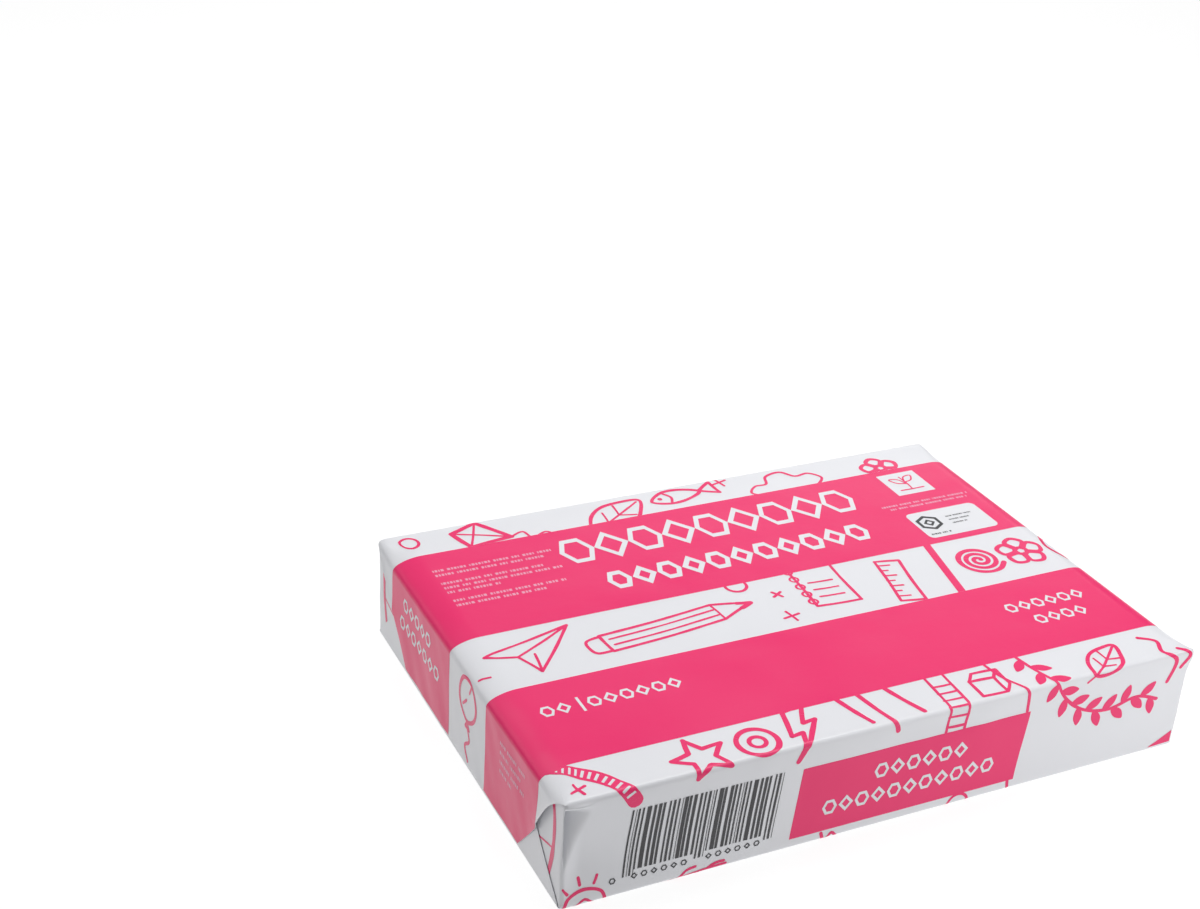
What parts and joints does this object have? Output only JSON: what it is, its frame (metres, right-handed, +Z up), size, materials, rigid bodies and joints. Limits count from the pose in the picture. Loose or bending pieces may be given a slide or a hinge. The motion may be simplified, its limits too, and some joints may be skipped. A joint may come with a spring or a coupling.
{
  "type": "ream of paper",
  "caption": "Sealed ream of A4 copier paper in a printed paper wrapper, with parcel-folded ends, two broad bands of colour and a lapped seam on the underside.",
  "frame": {"origin": "on the surface that the ream lies on, under the middle of the pack", "axes": "+X along the length of the sheets, from the end that the picture shows to the far end; +Y from the long front face to the back; +Z up through the stack"},
  "size_m": [0.3011, 0.2106, 0.0505],
  "materials": {
    "wrapper_paper": "satin coated white wrapping paper",
    "pink_print": "satin pink ink on coated paper",
    "dark_print": "matt dark grey ink on coated paper"
  },
  "bodies": {
    "root": {"wrapped_ream": "wrapper_paper"}
  },
  "joints": []
}
